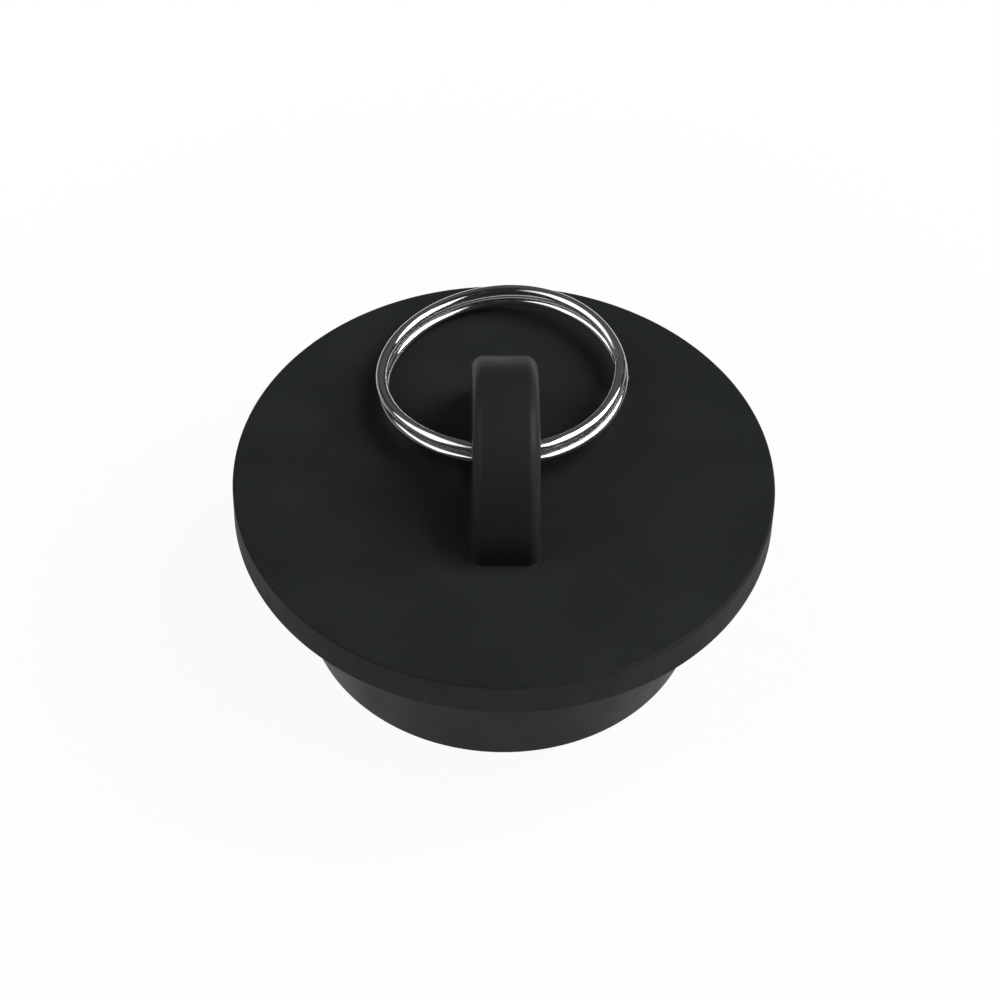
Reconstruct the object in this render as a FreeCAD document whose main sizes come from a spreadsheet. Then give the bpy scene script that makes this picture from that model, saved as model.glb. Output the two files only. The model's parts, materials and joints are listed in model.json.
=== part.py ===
import FreeCAD, Part
import math
import os

import Sketcher

# A rubber drain stopper with a split ring. Millimetres, +Z up, origin at the centre of the plug's lower rim.
# The loop stands across the middle of the flange in the YZ plane, and the ring lies back towards +Y.

# Driving dimensions: name, value, what it measures
DIMENSIONS = (
    ("flange_diameter", 36.0, "rim that rests on the drain's edge"),
    ("flange_thickness", 2.6, "rim, top to underside"),
    ("flange_break", 0.15, "chamfer on the rim's two edges"),
    ("plug_height", 10.2, "taper below the flange"),
    ("plug_top_diameter", 28.7, "taper at the flange, the largest drain it closes"),
    ("plug_bottom_diameter", 26.7, "taper at the lower rim, the smallest drain it closes"),
    ("plug_round", 0.15, "round on the taper's lower edge"),
    ("wall_thickness", 3.4, "rubber round the cored underside, at the lower rim"),
    ("roof_thickness", 4.2, "rubber between the cored underside and the flange's top"),
    ("core_draft", 5.0, "draft of the cored underside, degrees"),
    ("core_round", 1.4, "round where the core's wall meets its roof"),
    ("loop_radius", 7.95, "outside of the half-round loop, from the flange's top"),
    ("loop_width", 4.4, "loop along the eye's axis"),
    ("loop_round", 0.8, "round on the loop's two rims"),
    ("loop_root", 0.5, "depth to which the loop's outline runs into the flange"),
    ("eye_diameter", 5.0, "hole that the ring passes through"),
    ("eye_floor", 0.8, "rubber under the eye, above the flange's top"),
    ("eye_break", 0.6, "chamfer on the eye's two mouths"),
    ("ring_diameter", 16.92, "split ring, outside"),
    ("wire_width", 0.73, "flattened wire across the ring"),
    ("wire_height", 0.5, "flattened wire along the ring's axis"),
    ("wire_break", 0.16, "flat that breaks each of the wire's four edges"),
    ("turn_gap", 0.48, "space between the two turns"),
    ("turn_slip", 0.09, "upper turn's shift towards -X from the lower turn"),
    ("turn_warp", 0.31, "height of the slight saddle that the sprung turns have"),
    ("warp_angle", 16.6, "place of the saddle round the ring from +X, degrees"),
    ("cut_angle", 1.1, "place of the cut ends round the ring from +X, degrees"),
    ("side_lean", 3.0, "ring's lean with its +X side up, degrees"),
    ("side_shift", 0.12, "ring's shift towards -X in the eye"),
    ("swing_height", 2.6, "swing axis of the ring above the flange's top"),
    ("swing_shift", 0.5, "swing axis of the ring towards -Y from the loop's middle"),
    ("rest_gap", 0.2, "space between the resting wire and the flange"),
    ("cut_overrun", 1.0, "how far a cut runs past the solid"),
)

# Counts and shares
FULL_TURN = 2 * math.pi
RING_TURNS = 2
BIARCS_PER_TURN = 8
SAMPLES_PER_TURN = 360
LEAN_STEPS = 40
STEEPEST_LEAN = 45.0
MATCH_SHARE = 1e-4

X_AXIS = FreeCAD.Vector(1, 0, 0)
Y_AXIS = FreeCAD.Vector(0, 1, 0)
Z_AXIS = FreeCAD.Vector(0, 0, 1)


def make_sheet(doc):
    """The dimension table: name, value and note in each row, with the name as the value's alias."""
    sheet = doc.addObject("Spreadsheet::Sheet", "Sizes")
    for row, (name, value, note) in enumerate(DIMENSIONS, start=1):
        sheet.set(f"A{row}", name)
        sheet.set(f"B{row}", str(value))
        sheet.set(f"C{row}", note)
        sheet.setAlias(f"B{row}", name)
    doc.recompute()
    return sheet


# Expressions that several features share
FLANGE_TOP = "(Sizes.plug_height + Sizes.flange_thickness)"
CORE_HEIGHT = f"({FLANGE_TOP} - Sizes.roof_thickness)"
CORE_MOUTH = "(Sizes.plug_bottom_diameter / 2 - Sizes.wall_thickness)"
CORE_ROOF = f"({CORE_MOUTH} - {CORE_HEIGHT} * tan(Sizes.core_draft * 1 deg))"
EYE_HEIGHT = f"({FLANGE_TOP} + Sizes.eye_floor + Sizes.eye_diameter / 2)"


def add_sketch(body, name, role):
    """A sketch on one of the body's own origin planes."""
    plane = next(feature for feature in body.Origin.OriginFeatures if feature.Role == role)
    sketch = body.newObject("Sketcher::SketchObject", name)
    sketch.AttachmentSupport = [(plane, "")]
    sketch.MapMode = "FlatFace"
    return sketch


def drive(sketch, name, expression, kind, *places):
    """A named dimension between sketch places, bound to the table."""
    value = float(sketch.Document.Sizes.evalExpression(expression))
    index = sketch.addConstraint(Sketcher.Constraint(kind, *places, value))
    sketch.renameConstraint(index, name)
    sketch.setExpression(f"Constraints.{name}", expression)


def tie_point(sketch, name, geometry, across, up):
    """Ties a line's start point to the sketch axes. None puts it on the axis itself."""
    for axis, kind, label, expression in ((-2, "DistanceX", "across", across), (-1, "DistanceY", "up", up)):
        if expression is None:
            sketch.addConstraint(Sketcher.Constraint("PointOnObject", geometry, 1, axis))
        else:
            drive(sketch, f"{name}_{label}", expression, kind, -1, 1, geometry, 1)


def turn_moulding(doc, body):
    """Flange, taper and cored underside: one half section, turned about the plug's axis."""
    corners = (
        ("roof_centre", None, CORE_HEIGHT),
        ("top_centre", None, FLANGE_TOP),
        ("rim_top", "Sizes.flange_diameter / 2", FLANGE_TOP),
        ("rim_under", "Sizes.flange_diameter / 2", "Sizes.plug_height"),
        ("taper_top", "Sizes.plug_top_diameter / 2", "Sizes.plug_height"),
        ("taper_bottom", "Sizes.plug_bottom_diameter / 2", None),
        ("core_mouth", CORE_MOUTH, None),
        ("core_roof", CORE_ROOF, CORE_HEIGHT),
    )
    places = []
    for name, across, up in corners:
        x, y = (float(doc.Sizes.evalExpression(text)) if text else 0 for text in (across, up))
        places.append(FreeCAD.Vector(x, y, 0))
    sketch = add_sketch(body, "half_section", "XZ_Plane")
    followers = places[1:] + places[:1]
    for start, end in zip(places, followers):
        sketch.addGeometry(Part.LineSegment(start, end))
    for index in range(len(corners)):
        sketch.addConstraint(Sketcher.Constraint("Coincident", index, 2, (index + 1) % len(corners), 1))
    for index, (name, across, up) in enumerate(corners):
        tie_point(sketch, name, index, across, up)
    turned = body.newObject("PartDesign::Revolution", "turned_moulding")
    turned.Profile = sketch
    turned.ReferenceAxis = (sketch, ["V_Axis"])
    turned.Angle = 360
    doc.recompute()


def raise_loop(doc, body):
    """The half-round loop, which stands on the flange and runs a little way into it."""
    top, radius, root = (float(doc.Sizes.evalExpression(text))
                         for text in (FLANGE_TOP, "loop_radius", "loop_root"))
    sketch = add_sketch(body, "loop_outline", "YZ_Plane")
    centre = FreeCAD.Vector(0, top, 0)
    right = FreeCAD.Vector(radius, top, 0)
    left = FreeCAD.Vector(-radius, top, 0)
    down = FreeCAD.Vector(0, -root, 0)
    sketch.addGeometry(Part.ArcOfCircle(Part.Circle(centre, Z_AXIS, radius), 0, math.pi))
    sketch.addGeometry(Part.LineSegment(left, left + down))
    sketch.addGeometry(Part.LineSegment(left + down, right + down))
    sketch.addGeometry(Part.LineSegment(right + down, right))
    sketch.addConstraint(Sketcher.Constraint("Tangent", 0, 2, 1, 1))
    sketch.addConstraint(Sketcher.Constraint("Coincident", 1, 2, 2, 1))
    sketch.addConstraint(Sketcher.Constraint("Coincident", 2, 2, 3, 1))
    sketch.addConstraint(Sketcher.Constraint("Tangent", 3, 2, 0, 1))
    sketch.addConstraint(Sketcher.Constraint("Vertical", 1))
    sketch.addConstraint(Sketcher.Constraint("Vertical", 3))
    sketch.addConstraint(Sketcher.Constraint("Horizontal", 2))
    sketch.addConstraint(Sketcher.Constraint("PointOnObject", 0, 3, -2))
    drive(sketch, "loop_centre", FLANGE_TOP, "DistanceY", -1, 1, 0, 3)
    drive(sketch, "loop_outside", "Sizes.loop_radius", "Radius", 0)
    drive(sketch, "loop_sunk", "Sizes.loop_root", "DistanceY", 3, 1, 3, 2)
    loop = body.newObject("PartDesign::Pad", "loop")
    loop.Profile = sketch
    loop.SideType = "Symmetric"
    loop.setExpression("Length", "Sizes.loop_width")
    doc.recompute()


def cut_eye(doc, body):
    """The round eye through the loop."""
    sketch = add_sketch(body, "eye_outline", "YZ_Plane")
    centre = FreeCAD.Vector(0, float(doc.Sizes.evalExpression(EYE_HEIGHT)), 0)
    sketch.addGeometry(Part.Circle(centre, Z_AXIS, doc.Sizes.eye_diameter / 2))
    sketch.addConstraint(Sketcher.Constraint("PointOnObject", 0, 3, -2))
    drive(sketch, "eye_centre", EYE_HEIGHT, "DistanceY", -1, 1, 0, 3)
    drive(sketch, "eye_across", "Sizes.eye_diameter", "Diameter", 0)
    before = body.Shape.Volume
    eye = body.newObject("PartDesign::Pocket", "eye")
    eye.Profile = sketch
    eye.SideType = "Symmetric"
    eye.setExpression("Length", "Sizes.loop_width + 2 * Sizes.cut_overrun")
    doc.recompute()
    if not body.Shape.Volume < before:
        raise RuntimeError("the eye cuts nothing")


def circle_edges(shape, radius, axis, centres):
    """The names of the edges that lie on a circle of this radius about one of these centres."""
    def wanted(curve):
        if not isinstance(curve, Part.Circle) or abs(curve.Radius - radius) > MATCH_SHARE * radius:
            return False
        square = abs(curve.Axis.dot(axis)) > 1 - MATCH_SHARE
        return square and any((curve.Center - centre).Length < MATCH_SHARE * radius for centre in centres)

    return [f"Edge{index}" for index, edge in enumerate(shape.Edges, start=1) if wanted(edge.Curve)]


def dress_edges(doc, body, kind, name, size, *circles):
    """A Fillet or a Chamfer on the body's circular edges: radius, axis and centres pick them."""
    base = body.Tip
    feature = body.newObject(f"PartDesign::{kind}", name)
    feature.Base = (base, circle_edges(base.Shape, *circles))
    feature.setExpression("Radius" if kind == "Fillet" else "Size", f"Sizes.{size}")
    doc.recompute()


def make_plug(doc):
    """The rubber moulding: flange, taper, cored underside, and the loop with its eye."""
    sizes = doc.Sizes
    body = doc.addObject("PartDesign::Body", "rubber_plug")
    turn_moulding(doc, body)
    top = Z_AXIS * float(sizes.evalExpression(FLANGE_TOP))
    under = Z_AXIS * sizes.plug_height
    floor = Z_AXIS * 0
    roof = Z_AXIS * float(sizes.evalExpression(CORE_HEIGHT))
    roof_radius = float(sizes.evalExpression(CORE_ROOF))
    dress_edges(doc, body, "Chamfer", "rim_breaks", "flange_break", sizes.flange_diameter / 2, Z_AXIS, (top, under))
    dress_edges(doc, body, "Fillet", "taper_round", "plug_round", sizes.plug_bottom_diameter / 2, Z_AXIS, (floor,))
    dress_edges(doc, body, "Fillet", "core_rounds", "core_round", roof_radius, Z_AXIS, (roof,))
    raise_loop(doc, body)
    side = X_AXIS * (sizes.loop_width / 2)
    rims = (top + side, top - side)
    dress_edges(doc, body, "Fillet", "loop_rounds", "loop_round", sizes.loop_radius, X_AXIS, rims)
    cut_eye(doc, body)
    eye = Z_AXIS * float(sizes.evalExpression(EYE_HEIGHT))
    mouths = (eye + side, eye - side)
    dress_edges(doc, body, "Chamfer", "eye_breaks", "eye_break", sizes.eye_diameter / 2, X_AXIS, mouths)
    return body


def arc_at_corner(start, corner, end):
    """The arc that leaves start towards corner and reaches end from corner, both legs being equally long."""
    middle = (start + end) / 2
    cosine = (end - start).Length / 2 / (corner - start).Length
    bulge = middle + (corner - middle) * (cosine / (1 + cosine))
    return Part.Arc(start, bulge, end).toShape()


def biarc(start, start_way, end, end_way):
    """Two arcs that join two points with the given directions there."""
    chord = end - start
    ways = start_way + end_way
    square = 2 * (1 - start_way.dot(end_way))
    slope = chord.dot(ways)
    leg = (math.sqrt(slope ** 2 + square * chord.dot(chord)) - slope) / square
    first = start + start_way * leg
    second = end - end_way * leg
    joint = (first + second) / 2
    return [arc_at_corner(start, first, joint), arc_at_corner(joint, second, end)]


class WoundWire:
    """The split ring's wire in the ring's own frame: its axis is Z and its middle is the origin."""

    def __init__(self, sizes):
        self.radius = (sizes.ring_diameter - sizes.wire_width) / 2
        self.first = math.radians(sizes.cut_angle)
        self.pitch = sizes.wire_height + sizes.turn_gap
        self.climb = (Z_AXIS * self.pitch - X_AXIS * sizes.turn_slip) / FULL_TURN
        self.warp = sizes.turn_warp
        self.warp_start = math.radians(sizes.warp_angle)

    def outward(self, turn):
        angle = self.first + turn
        return FreeCAD.Vector(math.cos(angle), math.sin(angle), 0)

    def point(self, turn):
        warp = self.warp * math.sin(2 * (self.first + turn - self.warp_start))
        return self.outward(turn) * self.radius + self.climb * (turn - FULL_TURN) + Z_AXIS * warp

    def way(self, turn):
        warp_rate = 2 * self.warp * math.cos(2 * (self.first + turn - self.warp_start))
        return (Z_AXIS.cross(self.outward(turn)) * self.radius + self.climb + Z_AXIS * warp_rate).normalize()

    def path(self):
        """The wire's middle line, from the lower cut end up two turns to the upper one, in biarcs."""
        arcs = []
        for index in range(RING_TURNS * BIARCS_PER_TURN):
            start, end = (FULL_TURN * step / BIARCS_PER_TURN for step in (index, index + 1))
            arcs += biarc(self.point(start), self.way(start), self.point(end), self.way(end))
        return Part.Wire(arcs)

    def eye_point(self):
        """Midway between the two turns where they pass through the eye, at the ring's -Y side."""
        turn = (-math.pi / 2 - self.first) % FULL_TURN
        return (self.point(turn) + self.point(turn + FULL_TURN)) / 2


def wire_section(wire, sizes):
    """The flattened wire's outline at its lower cut end, rolled back by half of what the winding rolls it."""
    way = wire.way(0)
    outward = wire.outward(0)
    square = (outward - way * outward.dot(way)).normalize()
    roll = RING_TURNS * wire.pitch / wire.radius / 2
    across = FreeCAD.Rotation(way, math.degrees(roll)).multVec(square)
    half_width = across * (sizes.wire_width / 2)
    half_height = way.cross(across) * (sizes.wire_height / 2)
    start = wire.point(0)
    corners = [start + half_width * a + half_height * b for a, b in ((1, 1), (-1, 1), (-1, -1), (1, -1))]
    outline = []
    for index, corner in enumerate(corners):
        for neighbour in (corners[index - 1], corners[(index + 1) % len(corners)]):
            outline.append(corner + (neighbour - corner).normalize() * sizes.wire_break)
    return Part.makePolygon(outline + outline[:1])


def least_gap(points, sizes):
    """Least space between the turns, on points of the wire's middle line that are half a turn or more apart."""
    apart = SAMPLES_PER_TURN // 2
    nearest = min((points[early] - points[late]).Length
                  for early in range(len(points)) for late in range(early + apart, len(points)))
    return nearest - sizes.wire_height


def ring_placement(wire, sizes, lean, flange_top):
    """The ring leaned back about X and sideways about Y, with its wires in the eye at the swing axis."""
    rotation = FreeCAD.Rotation(Y_AXIS, -sizes.side_lean) * FreeCAD.Rotation(X_AXIS, -lean)
    swing = FreeCAD.Vector(-sizes.side_shift, -sizes.swing_shift, flange_top + sizes.swing_height)
    return FreeCAD.Placement(swing - rotation.multVec(wire.eye_point()), rotation)


def lowest_point(points, sizes, placement):
    """The lowest point of the wire's surface."""
    lowest = []
    axis_up = placement.Rotation.multVec(Z_AXIS).z
    for point in points:
        outward = FreeCAD.Vector(point.x, point.y, 0).normalize()
        out_up = placement.Rotation.multVec(outward).z
        across = abs(out_up) * sizes.wire_width / 2 + abs(axis_up) * sizes.wire_height / 2
        broken = min(abs(out_up), abs(axis_up)) * sizes.wire_break
        lowest.append(placement.multVec(point).z - across + broken)
    return min(lowest)


def rest_lean(points, wire, sizes, flange_top):
    """The lean at which the ring comes down on the flange, to within the rest gap."""
    low, high = 0.0, STEEPEST_LEAN
    for step in range(LEAN_STEPS):
        lean = (low + high) / 2
        height = lowest_point(points, sizes, ring_placement(wire, sizes, lean, flange_top)) - flange_top
        if height > sizes.rest_gap:
            low = lean
        else:
            high = lean
    return lean


def make_ring(doc):
    """The split ring: one unbroken wire that hangs in the eye and lies back on the flange."""
    sizes = doc.Sizes
    wire = WoundWire(sizes)
    path = wire.path()
    section = wire_section(wire, sizes)
    points = path.discretize(RING_TURNS * SAMPLES_PER_TURN + 1)
    flange_top = float(sizes.evalExpression(FLANGE_TOP))
    lean = rest_lean(points, wire, sizes, flange_top)
    ring = doc.addObject("Part::Feature", "split_ring")
    ring.Shape = path.makePipeShell([section], True, False)
    ring.Placement = ring_placement(wire, sizes, lean, flange_top)
    swept = Part.Face(section).Area * path.Length
    print(f"wire volume {ring.Shape.Volume:.3f} mm3, section times length {swept:.3f} mm3")
    print(f"least gap of the wire to itself {least_gap(points, sizes):.3f} mm")
    print(f"ring leans back {lean:.2f} degrees, swing axis along X through {ring.Placement.multVec(wire.eye_point())}")
    return ring


def check(doc, pieces):
    """Stops on any failed feature, and on a piece that isn't one valid solid."""
    failed = [item.Name for item in doc.Objects if {"Invalid", "Error"} & set(item.State)]
    if failed:
        raise RuntimeError("failed features: " + ", ".join(failed))
    for piece in pieces:
        shape = piece.Shape
        if shape.isNull() or not shape.isValid() or len(shape.Solids) != 1:
            raise RuntimeError(piece.Label + " isn't one valid solid")


def main():
    doc = FreeCAD.newDocument("drain_stopper")
    make_sheet(doc)
    pieces = [make_plug(doc), make_ring(doc)]
    doc.recompute()
    check(doc, pieces)
    os.makedirs("parts", exist_ok=True)
    for piece in pieces:
        piece.Shape.exportStep(f"parts/{piece.Label}.step")
        box = piece.Shape.BoundBox
        print(f"{piece.Label}: {box.XLength:.2f} x {box.YLength:.2f} x {box.ZLength:.2f} mm, "
              f"{piece.Shape.Volume:.2f} mm3, {len(piece.Shape.Faces)} faces")


main()
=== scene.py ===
# %% [markdown]
# A rubber drain stopper with a split ring.
# The stopper is one rubber moulding: a flat flange, a tapered plug under it and a loop on top.
# A ring of flattened steel wire, wound two turns, hangs in the loop's eye and lies back on the flange.
# The solids of both pieces are loaded first as a fixed frame.
# The pieces made here then stand in their places.

# %% Load the frame
import json
import math

import bmesh
import bpy
from mathutils import Euler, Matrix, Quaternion, Vector


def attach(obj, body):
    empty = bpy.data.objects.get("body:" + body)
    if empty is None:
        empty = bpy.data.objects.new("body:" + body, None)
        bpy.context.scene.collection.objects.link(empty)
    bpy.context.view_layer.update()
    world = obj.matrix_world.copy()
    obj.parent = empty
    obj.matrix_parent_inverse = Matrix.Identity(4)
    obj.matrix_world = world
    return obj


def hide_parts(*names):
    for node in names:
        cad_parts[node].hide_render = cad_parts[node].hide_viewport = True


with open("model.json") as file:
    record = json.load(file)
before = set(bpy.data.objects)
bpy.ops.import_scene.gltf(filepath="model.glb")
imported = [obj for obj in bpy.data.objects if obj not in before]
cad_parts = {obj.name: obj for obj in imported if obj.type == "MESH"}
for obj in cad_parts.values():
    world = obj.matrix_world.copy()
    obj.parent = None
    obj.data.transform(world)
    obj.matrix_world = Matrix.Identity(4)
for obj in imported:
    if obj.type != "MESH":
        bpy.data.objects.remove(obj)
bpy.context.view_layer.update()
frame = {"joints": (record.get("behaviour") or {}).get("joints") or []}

swing_joint = frame["joints"][0]

# %% [markdown]
# Blender works in metres and the stopper is measured in millimetres, so one factor turns one into the other.
# The main sizes of the moulding are gathered here, because the camera and the pieces share them.

# %% Main sizes
MM = 0.001
FLANGE_RADIUS = 18.0 * MM
FLANGE_THICKNESS = 2.6 * MM
TAPER_HEIGHT = 10.2 * MM
FLANGE_TOP = TAPER_HEIGHT + FLANGE_THICKNESS
print("flange top at", round(FLANGE_TOP / MM, 2), "mm")

# %% [markdown]
# The camera looks down on the flange from 48 degrees, with a long lens from about 22 cm.
# It could aim at the middle of the flange with its frame shifted, but a shift follows into every other view.
# So it aims a little below the middle instead, and rolls by the slight tilt that the picture has.

# %% Camera
CAMERA_AZIMUTH = math.radians(-2.0)
CAMERA_ELEVATION = math.radians(47.78)
CAMERA_ROLL = math.radians(1.433)
CAMERA_DISTANCE = 216 * MM
CAMERA_LENS = 117.126
CAMERA_NEAREST = 10 * MM
AIM_RIGHT = -0.232 * MM
AIM_UP = -1.63 * MM

bpy.ops.object.select_all(action="DESELECT")
back = Vector((math.sin(CAMERA_AZIMUTH) * math.cos(CAMERA_ELEVATION),
               -math.cos(CAMERA_AZIMUTH) * math.cos(CAMERA_ELEVATION),
               math.sin(CAMERA_ELEVATION)))
level = Quaternion(back.to_track_quat("Z", "Y"))
flange_middle = Vector((0, 0, FLANGE_TOP))
aim = flange_middle + level @ Vector((AIM_RIGHT, AIM_UP, 0))
place = flange_middle + back * CAMERA_DISTANCE
bpy.ops.object.camera_add(location=place)
camera = bpy.context.object
camera.rotation_mode = "QUATERNION"
camera.rotation_quaternion = (aim - place).to_track_quat("-Z", "Y") @ Quaternion((0, 0, 1), CAMERA_ROLL)
camera.data.lens = CAMERA_LENS
camera.data.clip_start = CAMERA_NEAREST
bpy.context.scene.camera = camera
bpy.context.scene.view_settings.view_transform = "Standard"
print("camera at", [round(c / MM, 1) for c in place], "mm")

# %% [markdown]
# The floor is a round white sweep that rises a little at its far edge, as a photographer's paper does.
# A plain plane would do under the stopper, but at low angles its edge would show against the dark room.
# It starts as a filled circle, and three extrusions of its rim make the rise.

# %% Floor sweep
FLOOR_RADIUS = 1.2
FLOOR_SIDES = 96
FLOOR_SMOOTH = math.radians(40)
# The radius and the height, in metres, that each extrusion of the rim reaches.
SWEEP_STEPS = ((1.28, 0.03), (1.34, 0.12), (1.36, 0.24))
FLOOR_CLEARANCE = 0.002 * MM


def pick(kind, rule):
    """Selects the faces or edges, in edit mode, that the rule says yes to, and nothing else."""
    mesh = bpy.context.edit_object.data
    bpy.ops.mesh.select_mode(type=kind)
    bpy.ops.mesh.select_all(action="DESELECT")
    form = bmesh.from_edit_mesh(mesh)
    chosen = [item for item in (form.faces if kind == "FACE" else form.edges) if rule(item)]
    for item in chosen:
        item.select_set(True)
    form.select_flush_mode()
    bmesh.update_edit_mesh(mesh)
    return len(chosen)


bpy.ops.mesh.primitive_circle_add(vertices=FLOOR_SIDES, radius=FLOOR_RADIUS, fill_type="NGON",
                                  location=(0, 0, -FLOOR_CLEARANCE))
floor = bpy.context.object
floor.name = "floor_sweep"
bpy.ops.object.mode_set(mode="EDIT")
pick("EDGE", lambda edge: True)
radius, height = FLOOR_RADIUS, 0.0
for next_radius, next_height in SWEEP_STEPS:
    bpy.ops.mesh.extrude_edges_move(TRANSFORM_OT_translate={"value": (0, 0, next_height - height)})
    growth = next_radius / radius
    bpy.ops.transform.resize(value=(growth, growth, 1), center_override=(0, 0, 0))
    radius, height = next_radius, next_height
bpy.ops.object.mode_set(mode="OBJECT")
bpy.ops.object.transform_apply(location=True, rotation=True, scale=True)
bpy.ops.object.shade_smooth_by_angle(angle=FLOOR_SMOOTH)
print("floor sweep of", len(floor.data.polygons), "faces, rising to", SWEEP_STEPS[-1][1], "m")

# %% [markdown]
# The paper is white to the eye and in reflections, and keeps the stopper's soft shadow near it.
# Lamps strong enough to burn the paper white would burn the stopper too.
# So the rays that come from the camera, or from a glossy or clear surface, see even white
# mixed into the lit paper.
# In reflections that white eases off with distance, or the black rubber would mirror it as a bright haze.

# %% Paper finish
PAPER_COLOUR = (0.9, 0.9, 0.9, 1)
PAPER_WHITE_SHARE = 0.94
SHADOW_NEAR = 30 * MM
SHADOW_FAR = 60 * MM
FADE_NEAR = 80 * MM
FADE_FAR = 150 * MM
FAR_WHITE = 0.18


class Finish:
    """A material that starts empty, with short ways to add and join its nodes."""

    def __init__(self, name):
        self.material = bpy.data.materials.new(name)
        self.material.use_nodes = True
        self.tree = self.material.node_tree
        self.tree.nodes.clear()
        self.place = self.add("ShaderNodeTexCoord").outputs["Object"]

    def add(self, kind, inputs=None, **settings):
        """A node with its settings, and with each named input linked to a socket or set to a value."""
        made = self.tree.nodes.new(kind)
        for key, value in settings.items():
            setattr(made, key, value)
        for key, value in (inputs or {}).items():
            if isinstance(value, bpy.types.NodeSocket):
                self.tree.links.new(value, made.inputs[key])
            else:
                made.inputs[key].default_value = value
        return made

    def math(self, operation, first, second=0.0):
        return self.add("ShaderNodeMath", {0: first, 1: second}, operation=operation).outputs[0]

    def length(self, vector):
        return self.add("ShaderNodeVectorMath", {0: vector}, operation="LENGTH").outputs["Value"]

    def ramp(self, value, low, high, at_low=0.0, at_high=1.0):
        """A smooth step from one number to another, as the value goes from low to high."""
        step = self.add("ShaderNodeMapRange", {"Value": value, "From Min": low, "From Max": high,
                                               "To Min": at_low, "To Max": at_high},
                        interpolation_type="SMOOTHSTEP")
        return step.outputs["Result"]

    def wear(self, shader, *pieces):
        """Sends a shader to the surface and gives the finish to the pieces."""
        self.add("ShaderNodeOutputMaterial", {"Surface": shader.outputs[0]})
        for piece in pieces:
            piece.data.materials.append(self.material)
        print(self.material.name, "with", len(self.tree.nodes), "nodes")


paper = Finish("white_paper")
from_middle = paper.length(paper.place)
rays = paper.add("ShaderNodeLightPath").outputs
lit = paper.add("ShaderNodeBsdfDiffuse", {"Color": PAPER_COLOUR})
eased = paper.ramp(from_middle, FADE_NEAR, FADE_FAR, 1, FAR_WHITE)
whiteness = paper.math("MAXIMUM", eased, rays["Is Camera Ray"])
white = paper.add("ShaderNodeEmission", {"Color": (1, 1, 1, 1), "Strength": whiteness})
share = paper.ramp(from_middle, SHADOW_NEAR, SHADOW_FAR, PAPER_WHITE_SHARE, 1)
seen = paper.add("ShaderNodeMixShader", {0: share, 1: lit.outputs[0], 2: white.outputs[0]})
glossy_or_clear = paper.math("MAXIMUM", rays["Is Glossy Ray"], rays["Is Transmission Ray"])
any_view = paper.math("MAXIMUM", rays["Is Camera Ray"], glossy_or_clear)
paper.wear(paper.add("ShaderNodeMixShader", {0: any_view, 1: lit.outputs[0], 2: seen.outputs[0]}), floor)

# %% [markdown]
# Softboxes stand at both sides, the right pair stronger, so that the loop's shadow falls to the left.
# The ring shows them as white bands at its four quarters, and the dim room as the dark lines between.
# A faint card behind greys the top of the wire, which mirrors it all the way round.
# One big lamp overhead would be simpler, but it would turn the flange grey and the ring white all round.

# %% Softboxes
# Each lamp's name, azimuth and elevation in degrees, distance, width and height in metres, and radiance.
LAMPS = (
    ("right_back_softbox", 13, 48, 0.40, 0.23, 0.28, 5.6),
    ("right_front_softbox", -30, 48, 0.40, 0.23, 0.28, 1.9),
    ("left_softbox", 182, 46, 0.40, 0.42, 0.32, 1.4),
    ("back_card", 90, 45, 0.50, 0.70, 0.40, 0.06),
)

for name, azimuth, elevation, lamp_distance, width, tall, radiance in LAMPS:
    turn, lift = math.radians(azimuth), math.radians(elevation)
    way = Vector((math.cos(turn) * math.cos(lift), math.sin(turn) * math.cos(lift), math.sin(lift)))
    bpy.ops.object.light_add(type="AREA", location=flange_middle + way * lamp_distance)
    lamp = bpy.context.object
    lamp.name = name
    lamp.rotation_mode = "QUATERNION"
    lamp.rotation_quaternion = (-way).to_track_quat("-Z", "Y")
    lamp.data.shape = "RECTANGLE"
    lamp.data.size = width
    lamp.data.size_y = tall
    lamp.data.energy = radiance * math.pi * width * tall
    lamp.visible_camera = False
    print(name, "gives", round(lamp.data.energy, 3), "W")

# %% [markdown]
# The room beyond the paper is dim, so that the wire has something dark to mirror between the softboxes.
# A plain dim world would do for that, but low views would then show it above the paper's edge.
# So the rays that come straight from the camera see it white.

# %% Dim room
ROOM_GREY = 0.025

room = bpy.data.worlds.new("dim_room")
room.use_nodes = True
backdrop = room.node_tree.nodes["Background"]
backdrop.inputs["Color"].default_value = (1, 1, 1, 1)
seen_room = room.node_tree.nodes.new("ShaderNodeMapRange")
seen_room.inputs["To Min"].default_value = ROOM_GREY
room_rays = room.node_tree.nodes.new("ShaderNodeLightPath")
room.node_tree.links.new(room_rays.outputs["Is Camera Ray"], seen_room.inputs["Value"])
room.node_tree.links.new(seen_room.outputs["Result"], backdrop.inputs["Strength"])
bpy.context.scene.world = room
print("room of grey", ROOM_GREY, "and white to the camera")

# %% [markdown]
# The moulding's turned part: the flange, the taper under it and the cored underside.
# It could be a profile spun about the axis, but the steps of a cylinder are easier to follow:
# its lower face is inset to the taper's width, drawn down and narrowed,
# then inset again to the wall and pushed up.

# %% Flange, taper and core
RIM_STEPS = 192
TAPER_TOP = 14.35 * MM
TAPER_BOTTOM = 13.35 * MM
WALL = 3.4 * MM
CORE_DEPTH = 8.6 * MM
CORE_ROOF = 9.2 * MM


def narrow_to(radius, before):
    """Scales the selection about the stopper's axis, from one radius to another."""
    share = radius / before
    bpy.ops.transform.resize(value=(share, share, 1), center_override=(0, 0, 0))


def draw_down(height):
    bpy.ops.mesh.extrude_region_move(TRANSFORM_OT_translate={"value": (0, 0, -height)})


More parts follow.
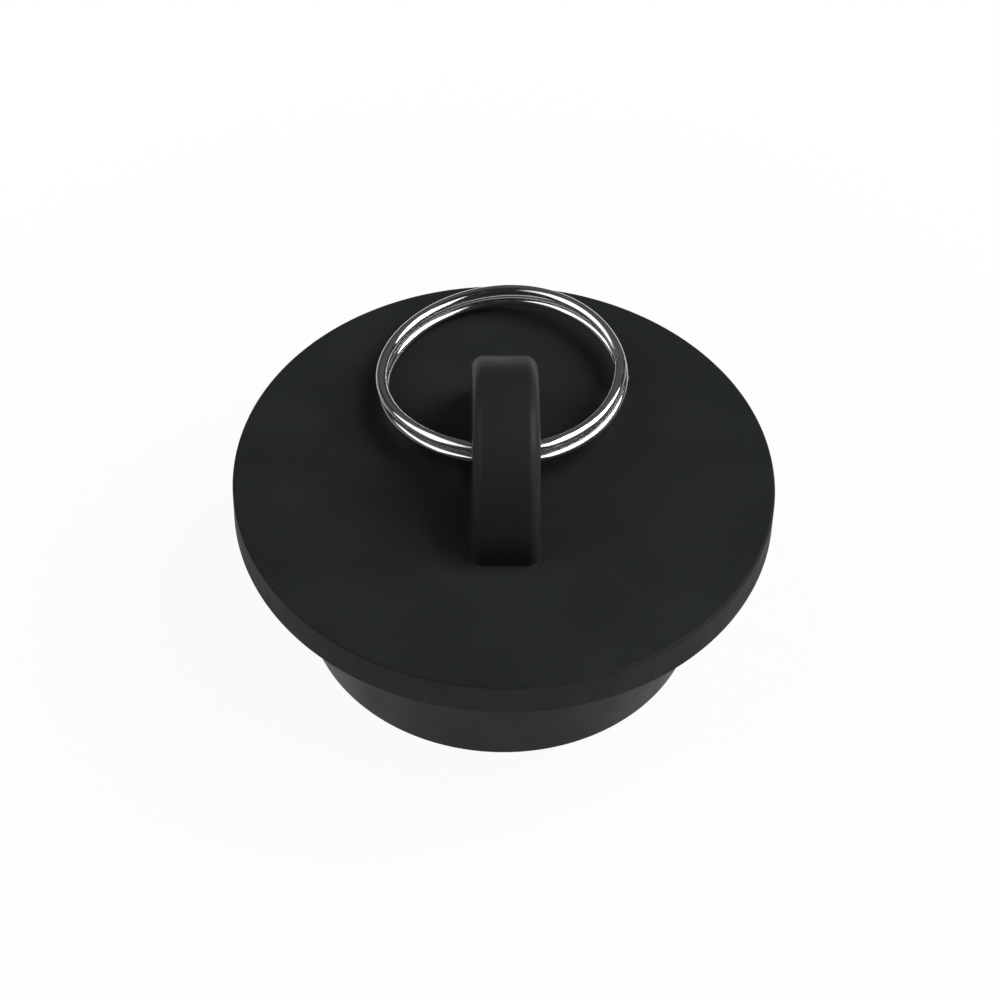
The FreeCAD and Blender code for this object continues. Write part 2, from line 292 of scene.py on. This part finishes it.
bpy.ops.object.select_all(action="DESELECT")
bpy.ops.mesh.primitive_cylinder_add(vertices=RIM_STEPS, radius=FLANGE_RADIUS, depth=FLANGE_THICKNESS,
                                    location=(0, 0, TAPER_HEIGHT + FLANGE_THICKNESS / 2))
plug = bpy.context.object
plug.name = "rubber_moulding"
bpy.ops.object.transform_apply(location=True, rotation=True, scale=True)
bpy.ops.object.mode_set(mode="EDIT")
pick("FACE", lambda face: face.normal.z < -0.9)
bpy.ops.mesh.inset(thickness=FLANGE_RADIUS - TAPER_TOP)
draw_down(TAPER_HEIGHT)
narrow_to(TAPER_BOTTOM, TAPER_TOP)
bpy.ops.mesh.inset(thickness=WALL)
draw_down(-CORE_DEPTH)
narrow_to(CORE_ROOF, TAPER_BOTTOM - WALL)
bpy.ops.object.mode_set(mode="OBJECT")
print("turned form", [round(side / MM, 2) for side in plug.dimensions], "mm")

# %% [markdown]
# A mould has no knife edges, and rubber less so: each edge of the turned part gets its own small round.
# The flange's top edge matters most, because its round is the thin dark line along the front of the rim.

# %% Rounds on the turned part
# The radius and the height of each edge, the size of its round and the steps in it.
ROUNDS = (
    (FLANGE_RADIUS, FLANGE_TOP, 0.2 * MM, 4),
    (FLANGE_RADIUS, TAPER_HEIGHT, 0.12 * MM, 3),
    (TAPER_TOP, TAPER_HEIGHT, 0.3 * MM, 4),
    (TAPER_BOTTOM, 0, 0.15 * MM, 4),
    (TAPER_BOTTOM - WALL, 0, 0.3 * MM, 3),
    (CORE_ROOF, CORE_DEPTH, 1.4 * MM, 6),
)
NEAR = 0.02 * MM


def on_circle(radius, height):
    """A rule for the edges that lie on a level circle about the stopper's axis."""
    def rule(edge):
        return all(abs(v.co.z - height) < NEAR and abs(v.co.xy.length - radius) < NEAR for v in edge.verts)
    return rule


bpy.ops.object.mode_set(mode="EDIT")
for radius, height, size, steps in ROUNDS:
    found = pick("EDGE", on_circle(radius, height))
    bpy.ops.mesh.bevel(offset=size, segments=steps, profile=0.5, affect="EDGES")
    print(found, "edges rounded at radius", round(radius / MM, 2), "height", round(height / MM, 2))
bpy.ops.object.mode_set(mode="OBJECT")

# %% [markdown]
# The loop is a half-round wall that stands across the flange, with a round eye through it.
# It could be half a disc from the start, but a whole one has whole rims, which round evenly.
# So it is a short cylinder on its side, rounded first and then cut level,
# a little below the flange's top, so that it joins the flange without a gap.

# %% Loop
LOOP_RADIUS = 7.95 * MM
LOOP_WIDTH = 4.4 * MM
LOOP_ROUND = 0.8 * MM
LOOP_ROOT = 0.5 * MM
LOOP_STEPS = 160
LOOP_ROUND_STEPS = 6

bpy.ops.object.select_all(action="DESELECT")
bpy.ops.mesh.primitive_cylinder_add(vertices=LOOP_STEPS, radius=LOOP_RADIUS, depth=LOOP_WIDTH,
                                    location=(0, 0, FLANGE_TOP), rotation=(0, math.pi / 2, 0))
loop = bpy.context.object
bpy.ops.object.transform_apply(location=True, rotation=True, scale=True)
bpy.ops.object.mode_set(mode="EDIT")
pick("EDGE", lambda edge: abs(edge.verts[0].co.x - edge.verts[1].co.x) < NEAR)
bpy.ops.mesh.bevel(offset=LOOP_ROUND, segments=LOOP_ROUND_STEPS, profile=0.5, affect="EDGES")
bpy.ops.mesh.select_all(action="SELECT")
bpy.ops.mesh.bisect(plane_co=(0, 0, FLANGE_TOP - LOOP_ROOT), plane_no=(0, 0, 1), use_fill=True,
                    clear_inner=True)
bpy.ops.object.mode_set(mode="OBJECT")
print("loop", [round(side / MM, 2) for side in loop.dimensions], "mm")

# %% [markdown]
# The eye is cut with a rod, as a mould's core pin would leave it, and its two mouths are rounded
# so that the wire doesn't cut into the rubber.

# %% Eye
EYE_RADIUS = 2.5 * MM
EYE_FLOOR = 0.8 * MM
EYE_ROUND = 0.6 * MM
EYE_STEPS = 64
EYE_ROUND_STEPS = 5
EYE_HEIGHT = FLANGE_TOP + EYE_FLOOR + EYE_RADIUS
CUT_OVERRUN = 1.0 * MM


def join_by(piece, tool, operation):
    """Cuts or joins the piece with a tool object, and removes the tool."""
    bpy.ops.object.select_all(action="DESELECT")
    bpy.context.view_layer.objects.active = piece
    piece.select_set(True)
    step = piece.modifiers.new(operation.lower(), "BOOLEAN")
    step.operation = operation
    step.solver = "EXACT"
    step.object = tool
    bpy.ops.object.modifier_apply(modifier=step.name)
    bpy.data.objects.remove(tool)


def on_eye_mouth(edge):
    return all(abs(abs(v.co.x) - LOOP_WIDTH / 2) < NEAR
               and abs(math.hypot(v.co.y, v.co.z - EYE_HEIGHT) - EYE_RADIUS) < NEAR for v in edge.verts)


bpy.ops.object.select_all(action="DESELECT")
bpy.ops.mesh.primitive_cylinder_add(vertices=EYE_STEPS, radius=EYE_RADIUS,
                                    depth=LOOP_WIDTH + 2 * CUT_OVERRUN,
                                    location=(0, 0, EYE_HEIGHT), rotation=(0, math.pi / 2, 0))
rod = bpy.context.object
bpy.ops.object.transform_apply(location=True, rotation=True, scale=True)
join_by(loop, rod, "DIFFERENCE")
bpy.ops.object.mode_set(mode="EDIT")
found = pick("EDGE", on_eye_mouth)
bpy.ops.mesh.bevel(offset=EYE_ROUND, segments=EYE_ROUND_STEPS, profile=0.5, affect="EDGES")
bpy.ops.object.mode_set(mode="OBJECT")
print(found, "edges rounded round the eye's mouths")

# %% [markdown]
# Loop and flange come out of one mould in one shot, so the two meshes are joined into one skin.
# The corner where they meet then gets a small hollow round, which catches a thin line of light at the foot.

# %% One moulding
FOOT_ROUND = 0.08 * MM
FOOT_ROUND_STEPS = 3
MERGE_WITHIN = 0.001 * MM
RUBBER_SMOOTH = math.radians(35)


def on_foot(edge):
    return all(abs(v.co.z - FLANGE_TOP) < NEAR and abs(v.co.x) < LOOP_WIDTH / 2 + NEAR
               and abs(v.co.y) < LOOP_RADIUS + NEAR for v in edge.verts)


join_by(plug, loop, "UNION")
bpy.ops.object.mode_set(mode="EDIT")
found = pick("EDGE", on_foot)
bpy.ops.mesh.bevel(offset=FOOT_ROUND, segments=FOOT_ROUND_STEPS, profile=0.5, affect="EDGES")
bpy.ops.mesh.select_all(action="SELECT")
bpy.ops.mesh.remove_doubles(threshold=MERGE_WITHIN)
bpy.ops.mesh.normals_make_consistent(inside=False)
bpy.ops.object.mode_set(mode="OBJECT")
bpy.ops.object.shade_smooth_by_angle(angle=RUBBER_SMOOTH)
step = plug.modifiers.new("even_shading", "WEIGHTED_NORMAL")
step.keep_sharp = True
bpy.ops.object.modifier_apply(modifier=step.name)
print(found, "edges rounded at the foot; moulding of", len(plug.data.polygons), "faces")

# %% [markdown]
# The ring is one length of flattened wire, with a crowned top and bottom and narrow straight sides.
# A rectangle with broken edges would be simpler, but a flat top mirrors one lamp or none.
# So a circle is cut off at both sides, and its two halves are drawn together to the wire's height.

# %% Wire section
WIRE_WIDTH = 0.79 * MM
WIRE_HEIGHT = 0.6 * MM
CROWN_RADIUS = 0.45 * MM
CROWN_STEPS = 72
# The cut's own threshold, 0.1 mm, is too coarse for a wire this thin.
CUT_WITHIN = 0.0001 * MM

bpy.ops.object.select_all(action="DESELECT")
bpy.ops.mesh.primitive_circle_add(vertices=CROWN_STEPS, radius=CROWN_RADIUS, fill_type="NGON")
bpy.ops.object.mode_set(mode="EDIT")
for side in (-1, 1):
    bpy.ops.mesh.select_all(action="SELECT")
    bpy.ops.mesh.bisect(plane_co=(side * WIRE_WIDTH / 2, 0, 0), plane_no=(side, 0, 0), clear_outer=True,
                        threshold=CUT_WITHIN)
for side in (-1, 1):
    pick("EDGE", lambda edge: all(v.co.y * side > 0 for v in edge.verts))
    bpy.ops.transform.translate(value=(0, side * (WIRE_HEIGHT / 2 - CROWN_RADIUS), 0))
bpy.ops.mesh.select_all(action="SELECT")
bpy.ops.mesh.delete(type="ONLY_FACE")
bpy.ops.object.mode_set(mode="OBJECT")
bpy.ops.object.convert(target="CURVE")
section = bpy.context.object
print("wire section", [round(side / MM, 2) for side in section.dimensions], "mm")

# %% [markdown]
# The wire is wound two turns, with two cut ends.
# A torus would be closed and single, and a Screw modifier would wind it without a fault.
# The turns of a sprung ring slip a little on each other, though, and warp into a slight saddle.
# So a path is plotted from the lower cut end up to the upper one, and the section is swept along it.
# The sweep is open at both ends, so one face closes each, and the rims of those are rounded.

# %% Split ring
RING_RADIUS = 8.095 * MM
PITCH = 0.98 * MM
TURNS = 2
TURN_STEPS = 144
TURN_SLIP = 0.09 * MM
TURN_WARP = 0.31 * MM
WARP_ANGLE = math.radians(16.6)
CUT_ANGLE = math.radians(1.1)
FULL_TURN = 2 * math.pi
END_ROUND = 0.08 * MM
END_ROUND_STEPS = 2
RING_SMOOTH = math.radians(40)


def wire_middle(turns):
    """The wire's middle, so many turns on from the lower cut end."""
    angle = CUT_ANGLE + FULL_TURN * turns
    climbed = turns - TURNS / 2
    warp = TURN_WARP * math.sin(2 * (angle - WARP_ANGLE))
    return Vector((RING_RADIUS * math.cos(angle) - TURN_SLIP * climbed, RING_RADIUS * math.sin(angle),
                   PITCH * climbed + warp))


winding = bpy.data.curves.new("winding", "CURVE")
winding.dimensions = "3D"
winding.twist_mode = "Z_UP"
winding.bevel_mode = "OBJECT"
winding.bevel_object = section
line = winding.splines.new("POLY")
line.points.add(TURNS * TURN_STEPS)
for index, point in enumerate(line.points):
    point.co = (*wire_middle(index / TURN_STEPS), 1)
ring = bpy.data.objects.new("wound_ring", winding)
bpy.context.collection.objects.link(ring)
bpy.ops.object.select_all(action="DESELECT")
bpy.context.view_layer.objects.active = ring
ring.select_set(True)
bpy.ops.object.convert(target="MESH")
bpy.data.objects.remove(section)
bpy.ops.object.mode_set(mode="EDIT")
bpy.ops.mesh.select_all(action="SELECT")
bpy.ops.mesh.remove_doubles(threshold=MERGE_WITHIN)
bpy.ops.mesh.fill_holes(sides=0)
bpy.ops.mesh.select_all(action="SELECT")
bpy.ops.mesh.normals_make_consistent(inside=False)
ends = pick("FACE", lambda face: len(face.verts) > 4)
bpy.ops.mesh.bevel(offset=END_ROUND, segments=END_ROUND_STEPS, profile=0.5, affect="EDGES")
bpy.ops.object.mode_set(mode="OBJECT")
bpy.ops.object.shade_smooth_by_angle(angle=RING_SMOOTH)
print("wire of", len(ring.data.polygons), "faces, with", ends, "cut ends rounded")

# %% [markdown]
# The ring passes through the eye at the swing axis and leans back until it lies on the flange.
# Its place comes from the joint of the frame, so that it turns about the axis that the solids turn about.

# %% Ring at rest
RING_LEAN = math.radians(-2.7)
RING_TILT = math.radians(-3.0)
TURNS_TO_FRONT = 0.75

eye_turns = TURNS_TO_FRONT - CUT_ANGLE / FULL_TURN
in_eye = (wire_middle(eye_turns) + wire_middle(eye_turns + 1)) / 2
ring_turn = Euler((RING_LEAN, RING_TILT, 0))
ring_place = Vector(swing_joint["pos_m"]) - ring_turn.to_matrix() @ in_eye
ring.rotation_euler = ring_turn
ring.location = ring_place
bpy.ops.object.transform_apply(location=True, rotation=True, scale=True)
ring_low, ring_high = (Vector(corner) for corner in (ring.bound_box[0], ring.bound_box[6]))
print("ring from", [round(c / MM, 2) for c in ring_low], "to", [round(c / MM, 2) for c in ring_high], "mm")

# %% [markdown]
# The rubber is a dull black with a cool cast. On the loop it is painted a touch darker and cooler, as
# painted shade with a painted cool reflection.
# Bloom clouds it softly, its gloss drifts, and its skin has a fine grain.
# A blade trimmed the rim's side, which left it rougher and speckled.
# Hands have dulled the loop's edges a touch paler.
# A plain black would do from afar, but the clouds and the grain are what make it rubber and not lacquer.
# The patterns read the moulding's own coordinates, so they stay with it in every view.

# %% Rubber finish
RUBBER_DEEP = (0.0179, 0.0210, 0.0201, 1)
RUBBER_BLOOM = (0.0217, 0.0252, 0.0241, 1)
RUBBER_TRIMMED = (0.0255, 0.0255, 0.0255, 1)
# Painted shade: the loop's copy of the same rubber, a touch darker and cooler than the flange's.
LOOP_PAINTED_SHADE = (0.0186, 0.0200, 0.0208, 1)
RUBBER_WORN = (0.0280, 0.0295, 0.0303, 1)
LOOP_SHADE_SHARE = 0.8
DISC_GLOSS, LOOP_GLOSS, TAPER_GLOSS, RIM_GLOSS = 0.06, 0.11, 0.09, 0.12
SMOOTHEST, DULLEST, TRIMMED_DULL = 0.36, 0.46, 0.72
# Where the looks of the rim, the loop and the taper start and where they are full:
# in from the rim, up from the flange's top and down from its underside.
RIM_STARTS, RIM_FULL = 0.09 * MM, 0.02 * MM
LOOP_STARTS, LOOP_FULL = 0.1 * MM, 0.6 * MM
TAPER_STARTS, TAPER_FULL = 0.1 * MM, 0.3 * MM
# Each pattern's swells in a metre and its detail, and the part of its range that is used.
CLOUDS, CLOUD_SPAN = (150, 4), (0.32, 0.68)
DRIFTS, DRIFT_SPAN = (420, 3), (0.3, 0.7)
NICKS, NICK_SPAN = (2600, 3), (0.5, 0.7)
GRAINS = (4800, 3)
GRAIN_DEPTH = 0.006 * MM
NICK_TO_GRAIN = 1.2


def from_axis(finish, place):
    """The distance from the Z axis."""
    flat = finish.add("ShaderNodeVectorMath", {0: place, 1: (1, 1, 0)}, operation="MULTIPLY")
    return finish.length(flat.outputs[0])


def noise(finish, per_metre, detail, place=None):
    """A soft random pattern between 0 and 1, with so many swells in a metre."""
    made = finish.add("ShaderNodeTexNoise", {"Vector": place or finish.place, "Scale": per_metre,
                                             "Detail": detail})
    return made.outputs["Fac"]


def tint(finish, amount, first, second):
    """A colour that goes from the first to the second as the amount goes from 0 to 1."""
    return finish.add("ShaderNodeMix", {0: amount, 6: first, 7: second}, data_type="RGBA").outputs[2]


rubber = Finish("black_moulded_rubber")
parts = rubber.add("ShaderNodeSeparateXYZ", {0: rubber.place}).outputs
on_rim_side = rubber.ramp(from_axis(rubber, rubber.place),
                          FLANGE_RADIUS - RIM_STARTS, FLANGE_RADIUS - RIM_FULL)
on_loop = rubber.ramp(parts["Z"], FLANGE_TOP + LOOP_STARTS, FLANGE_TOP + LOOP_FULL)
gloss = rubber.ramp(parts["Z"], TAPER_HEIGHT - TAPER_FULL, TAPER_HEIGHT - TAPER_STARTS,
                    TAPER_GLOSS, DISC_GLOSS)
gloss = rubber.math("ADD", gloss, rubber.math("MULTIPLY", on_loop, LOOP_GLOSS - DISC_GLOSS))
gloss = rubber.math("ADD", gloss, rubber.math("MULTIPLY", on_rim_side, RIM_GLOSS - DISC_GLOSS))
clouds = rubber.ramp(noise(rubber, *CLOUDS), *CLOUD_SPAN)
nicks = rubber.ramp(noise(rubber, *NICKS), *NICK_SPAN)
trimmed = rubber.math("MULTIPLY", on_rim_side, nicks)
colour = tint(rubber, clouds, RUBBER_DEEP, RUBBER_BLOOM)
# Painted shade and a painted cool reflection: the loop is tinted darker and cooler than the flange of the
# same moulding.
colour = tint(rubber, rubber.math("MULTIPLY", on_loop, LOOP_SHADE_SHARE), colour, LOOP_PAINTED_SHADE)
from_side = rubber.math("ABSOLUTE", parts["X"])
at_loop_edge = rubber.ramp(from_side, LOOP_WIDTH / 2 - LOOP_ROUND, LOOP_WIDTH / 2 - LOOP_ROUND / 4)
colour = tint(rubber, rubber.math("MULTIPLY", on_loop, at_loop_edge), colour, RUBBER_WORN)
colour = tint(rubber, on_rim_side, colour, RUBBER_TRIMMED)
dullness = rubber.ramp(noise(rubber, *DRIFTS), *DRIFT_SPAN, SMOOTHEST, DULLEST)
rim_dullness = rubber.math("MULTIPLY", on_rim_side, TRIMMED_DULL - DULLEST)
grain = noise(rubber, *GRAINS)
relief = rubber.math("ADD", grain, rubber.math("MULTIPLY", trimmed, NICK_TO_GRAIN))
skin = rubber.add("ShaderNodeBump", {"Height": relief, "Distance": GRAIN_DEPTH, "Strength": 1.0})
rubber.wear(rubber.add("ShaderNodeBsdfPrincipled", {
    "Base Color": colour,
    "Roughness": rubber.math("ADD", dullness, rim_dullness),
    "Specular IOR Level": gloss,
    "Normal": skin.outputs["Normal"],
}), plug)

# %% [markdown]
# The wire is bright nickel-plated steel, drawn through a die.
# Fine lines run along it and blur what it mirrors.
# They could come from an image, but here they are noise squeezed across the wire and drawn out along it.
# For that the ring's place and lean are taken off its coordinates first,
# so that these are counted round its own axis.

# %% Steel finish
STEEL = (0.80, 0.80, 0.81, 1)
STEEL_DULL = (0.66, 0.66, 0.68, 1)
STEEL_SMOOTH, STEEL_HAZY = 0.08, 0.18
LINES, LINE_STRETCH = (9000, 2), 60
SMEARS, SMEAR_SPAN = (900, 3), (0.35, 0.7)
HAZE_SPAN = (0.05, 0.55)
LINE_DEPTH = 0.0003 * MM

steel = Finish("bright_ring_steel")
own = steel.add("ShaderNodeMapping", {"Vector": steel.place, "Location": ring_place, "Rotation": ring_turn},
                vector_type="TEXTURE").outputs[0]
parts = steel.add("ShaderNodeSeparateXYZ", {0: own}).outputs
round_ring = steel.math("ARCTAN2", parts["Y"], parts["X"])
along = steel.math("MULTIPLY", round_ring, RING_RADIUS / LINE_STRETCH)
on_wire = steel.add("ShaderNodeCombineXYZ", {"X": from_axis(steel, own), "Y": along,
                                             "Z": parts["Z"]}).outputs[0]
lines = noise(steel, *LINES, on_wire)
smears = steel.ramp(noise(steel, *SMEARS), *SMEAR_SPAN)
scored = steel.add("ShaderNodeBump", {"Height": lines, "Distance": LINE_DEPTH, "Strength": 1.0})
haze = steel.math("MULTIPLY", smears, lines)
steel.wear(steel.add("ShaderNodeBsdfPrincipled", {
    "Base Color": tint(steel, haze, STEEL, STEEL_DULL),
    "Roughness": steel.ramp(haze, *HAZE_SPAN, STEEL_SMOOTH, STEEL_HAZY),
    "Metallic": 1.0,
    "Normal": scored.outputs["Normal"],
}), ring)

# %% [markdown]
# Each piece now rides on its body and stands for its solid.

# %% Hand over
for piece, body, solid, slot in ((plug, "stopper", "rubber_plug", "black_rubber"),
                                 (ring, "ring", "split_ring", "ring_steel")):
    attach(piece, body)
    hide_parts(solid)
    print(piece.name, "rides on", body, "and stands for", solid)
